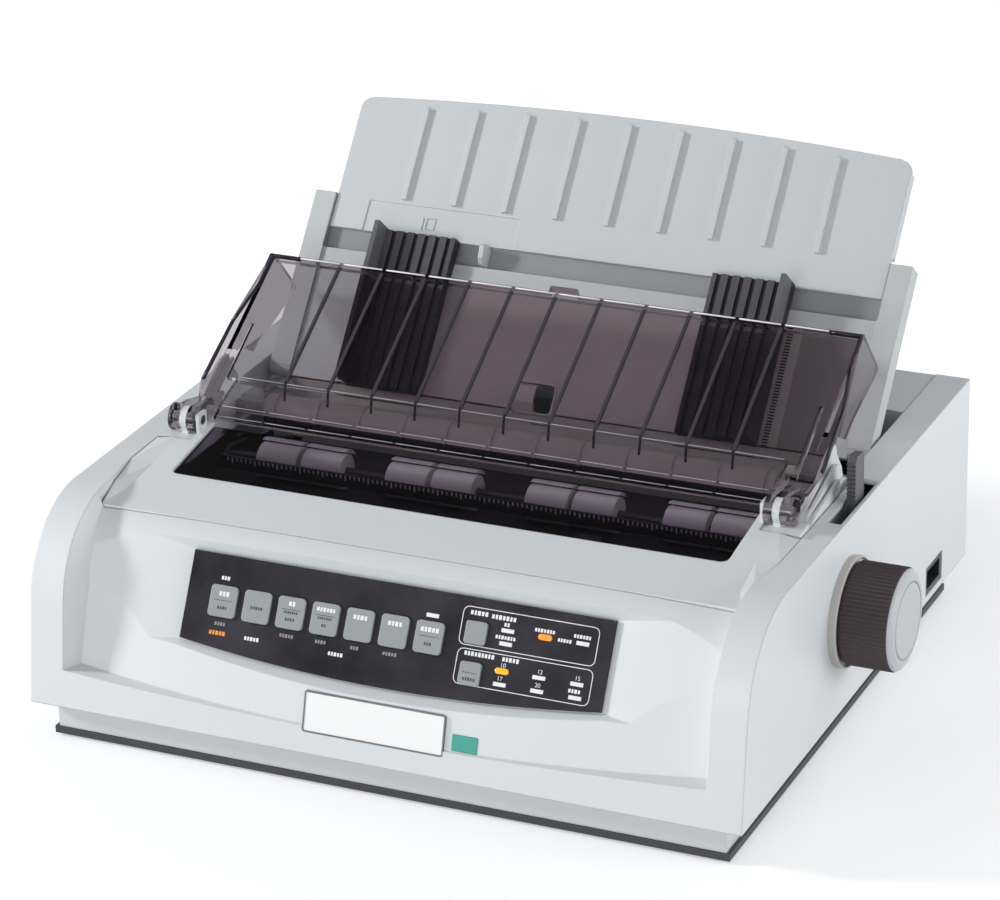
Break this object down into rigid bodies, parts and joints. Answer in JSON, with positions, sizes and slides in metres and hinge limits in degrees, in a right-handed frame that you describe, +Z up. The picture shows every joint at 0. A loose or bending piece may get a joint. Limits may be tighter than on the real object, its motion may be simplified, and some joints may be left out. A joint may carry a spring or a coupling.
{
  "type": "dot matrix printer",
  "caption": "Desktop impact printer: low ivory case with a sloping control panel, smoked hinged hood, reclining sheet guide and a side platen knob.",
  "frame": {"origin": "on the table under the middle of the case: midway between the two cheeks and midway from the front band to the rear wall", "axes": "+X to the right seen from the operator, -Y towards the operator, +Z up"},
  "size_m": [0.4032, 0.3331, 0.2379],
  "materials": {
    "ivory_plastic": "fine-grained satin",
    "warm_grey_plastic": "fine-grained satin",
    "dark_plastic": "satin",
    "key_grey": "satin",
    "brown_grey_plastic": "satin",
    "light_grey_plastic": "satin",
    "smoked_clear": "polished, see-through",
    "label_white": "smooth",
    "lamp": "smooth",
    "white_gear": "moulded",
    "brass": "machined",
    "steel": "zinc plated",
    "motor_grey": "satin",
    "head_alloy": "die cast",
    "rubber": "matt",
    "circuit_board": "lacquered",
    "cable": "flat"
  },
  "bodies": {
    "case": {"rubber_feet": "rubber", "base_pan": "dark_plastic", "lower_case": "warm_grey_plastic", "upper_case": "ivory_plastic", "rear_cover": "warm_grey_plastic", "operator_panel": "dark_plastic", "panel_lamps": "lamp", "control_board": "circuit_board", "nameplate": "label_white", "hood_brackets": "ivory_plastic", "hood_hinge_pins": "steel", "paper_chute": "brown_grey_plastic", "feed_motor": "motor_grey", "side_frames": "steel", "chassis_bed": "steel", "guide_rods": "steel", "carriage_belt": "rubber", "carriage_motor": "motor_grey", "head_cable": "cable", "main_board": "circuit_board", "power_supply": "motor_grey", "power_inlet": "dark_plastic", "rear_connectors": "dark_plastic"},
    "cover": {"access_cover": "ivory_plastic", "cover_window": "smoked_clear"},
    "hood": {"smoked_hood": "smoked_clear"},
    "guide": {"sheet_guide_frame": "light_grey_plastic", "sheet_guide_panel": "light_grey_plastic"},
    "guide_left": {"left_paper_guide": "dark_plastic"},
    "guide_right": {"right_paper_guide": "dark_plastic"},
    "roller": {"platen": "rubber", "platen_shaft": "steel", "platen_knob": "brown_grey_plastic", "platen_gear": "white_gear"},
    "idler": {"feed_idler": "white_gear"},
    "pinion": {"feed_pinion": "brass"},
    "train_a": {"tractor_idler_a": "white_gear"},
    "train_b": {"tractor_idler_b": "white_gear"},
    "tractor_drive": {"tractor_shaft": "steel"},
    "tractor_left": {"left_tractor": "motor_grey"},
    "tractor_right": {"right_tractor": "motor_grey"},
    "bail": {"paper_bail": "steel"},
    "bail_wheels": {"bail_rollers": "light_grey_plastic"},
    "head": {"carriage": "dark_plastic", "print_head": "head_alloy", "ribbon_cartridge": "dark_plastic"},
    "ribbon_spool": {"ribbon_knob": "key_grey"},
    "belt_drive": {"drive_pulley": "white_gear"},
    "belt_idler": {"idler_pulley": "white_gear"},
    "lever": {"paper_lever": "dark_plastic"},
    "switch": {"power_switch": "dark_plastic"},
    "key_1_body": {"key_1": "key_grey"},
    "key_2_body": {"key_2": "key_grey"},
    "key_3_body": {"key_3": "key_grey"},
    "key_4_body": {"key_4": "key_grey"},
    "key_5_body": {"key_5": "key_grey"},
    "key_6_body": {"key_6": "key_grey"},
    "key_7_body": {"key_7": "key_grey"},
    "quality_key_body": {"quality_key": "key_grey"},
    "pitch_key_body": {"pitch_key": "key_grey"}
  },
  "joints": [
    {"name": "cover_hinge", "type": "hinge", "parent": "case", "child": "cover", "pos_m": [0, -0.0417, 0.1267], "axis": [-1, 0, 0], "range_deg": [0, 55]},
    {"name": "hood_hinge", "type": "hinge", "parent": "case", "child": "hood", "pos_m": [0, -0.0417, 0.1267], "axis": [1, 0, 0], "range_deg": [0, 75]},
    {"name": "guide_fold", "type": "hinge", "parent": "case", "child": "guide", "pos_m": [0, 0.06851, 0.11208], "axis": [-1, 0, 0], "range_deg": [0, 30]},
    {"name": "left_guide_slide", "type": "slide", "parent": "guide", "child": "guide_left", "axis": [1, 0, 0], "range_m": [-0.015, 0.035]},
    {"name": "right_guide_slide", "type": "slide", "parent": "guide", "child": "guide_right", "axis": [1, 0, 0], "range_m": [-0.06, 0.03]},
    {"name": "platen_spin", "type": "hinge", "parent": "case", "child": "roller", "pos_m": [0, -0.024, 0.071], "axis": [1, 0, 0], "continuous": true},
    {"name": "idler_spin", "type": "hinge", "parent": "case", "child": "idler", "pos_m": [0, -0.0153, 0.03855], "axis": [1, 0, 0], "continuous": true},
    {"name": "pinion_spin", "type": "hinge", "parent": "case", "child": "pinion", "pos_m": [0, 0.00361, 0.03521], "axis": [1, 0, 0], "continuous": true},
    {"name": "train_a_spin", "type": "hinge", "parent": "case", "child": "train_a", "pos_m": [0, 0.01878, 0.07701], "axis": [1, 0, 0], "continuous": true},
    {"name": "train_b_spin", "type": "hinge", "parent": "case", "child": "train_b", "pos_m": [0, 0.06666, 0.08036], "axis": [1, 0, 0], "continuous": true},
    {"name": "tractor_spin", "type": "hinge", "parent": "case", "child": "tractor_drive", "pos_m": [0, 0.10014, 0.07743], "axis": [1, 0, 0], "continuous": true},
    {"name": "left_tractor_slide", "type": "slide", "parent": "case", "child": "tractor_left", "axis": [1, 0, 0], "range_m": [-0.01, 0.04]},
    {"name": "right_tractor_slide", "type": "slide", "parent": "case", "child": "tractor_right", "axis": [1, 0, 0], "range_m": [-0.04, 0.01]},
    {"name": "bail_lift", "type": "hinge", "parent": "case", "child": "bail", "pos_m": [0, 0.022, 0.091], "axis": [-1, 0, 0], "range_deg": [0, 12], "stiffness_Nm_per_rad": 0.05, "springref_deg": -28.65},
    {"name": "bail_roll", "type": "hinge", "parent": "bail", "child": "bail_wheels", "pos_m": [0, -0.01797, 0.09865], "axis": [1, 0, 0], "continuous": true},
    {"name": "carriage_slide", "type": "slide", "parent": "case", "child": "head", "axis": [1, 0, 0], "range_m": [-0.19, 0.005]},
    {"name": "ribbon_turn", "type": "hinge", "parent": "head", "child": "ribbon_spool", "pos_m": [0.066, -0.092, 0.095], "axis": [0, 0, 1], "continuous": true},
    {"name": "belt_drive_spin", "type": "hinge", "parent": "case", "child": "belt_drive", "pos_m": [0.142, -0.106, 0.043], "axis": [0, 0, 1], "range_deg": [-1815.37, 48.75]},
    {"name": "belt_idler_spin", "type": "hinge", "parent": "case", "child": "belt_idler", "pos_m": [-0.142, -0.106, 0.043], "axis": [0, 0, 1], "range_deg": [-1815.37, 48.75]},
    {"name": "lever_swing", "type": "hinge", "parent": "case", "child": "lever", "pos_m": [0, 0.002, 0.092], "axis": [1, 0, 0], "range_deg": [0, 30]},
    {"name": "power_rocker", "type": "hinge", "parent": "case", "child": "switch", "pos_m": [0.11, 0.158, 0.052], "axis": [1, 0, 0], "range_deg": [-10, 0]},
    {"name": "key_1_press", "type": "slide", "parent": "case", "child": "key_1_body", "axis": [0, 0.8771, -0.4802], "range_m": [0, 0.0008], "stiffness_N_per_m": 400, "springref_m": -0.002},
    {"name": "key_2_press", "type": "slide", "parent": "case", "child": "key_2_body", "axis": [0, 0.8771, -0.4802], "range_m": [0, 0.0008], "stiffness_N_per_m": 400, "springref_m": -0.002},
    {"name": "key_3_press", "type": "slide", "parent": "case", "child": "key_3_body", "axis": [0, 0.8771, -0.4802], "range_m": [0, 0.0008], "stiffness_N_per_m": 400, "springref_m": -0.002},
    {"name": "key_4_press", "type": "slide", "parent": "case", "child": "key_4_body", "axis": [0, 0.8771, -0.4802], "range_m": [0, 0.0008], "stiffness_N_per_m": 400, "springref_m": -0.002},
    {"name": "key_5_press", "type": "slide", "parent": "case", "child": "key_5_body", "axis": [0, 0.8771, -0.4802], "range_m": [0, 0.0008], "stiffness_N_per_m": 400, "springref_m": -0.002},
    {"name": "key_6_press", "type": "slide", "parent": "case", "child": "key_6_body", "axis": [0, 0.8771, -0.4802], "range_m": [0, 0.0008], "stiffness_N_per_m": 400, "springref_m": -0.002},
    {"name": "key_7_press", "type": "slide", "parent": "case", "child": "key_7_body", "axis": [0, 0.8771, -0.4802], "range_m": [0, 0.0008], "stiffness_N_per_m": 400, "springref_m": -0.002},
    {"name": "quality_key_press", "type": "slide", "parent": "case", "child": "quality_key_body", "axis": [0, 0.8771, -0.4802], "range_m": [0, 0.0008], "stiffness_N_per_m": 400, "springref_m": -0.002},
    {"name": "pitch_key_press", "type": "slide", "parent": "case", "child": "pitch_key_body", "axis": [0, 0.8771, -0.4802], "range_m": [0, 0.0008], "stiffness_N_per_m": 400, "springref_m": -0.002}
  ],
  "couplings": [
    {"joint": "idler_spin", "follows": "platen_spin", "ratio": -1.3333},
    {"joint": "pinion_spin", "follows": "platen_spin", "ratio": 4},
    {"joint": "train_a_spin", "follows": "platen_spin", "ratio": -0.8},
    {"joint": "train_b_spin", "follows": "platen_spin", "ratio": 0.8},
    {"joint": "tractor_spin", "follows": "platen_spin", "ratio": -2},
    {"joint": "bail_roll", "follows": "platen_spin", "ratio": -2.1111},
    {"joint": "belt_drive_spin", "follows": "carriage_slide", "rad_per_m": 166.67},
    {"joint": "belt_idler_spin", "follows": "carriage_slide", "rad_per_m": 166.67}
  ]
}
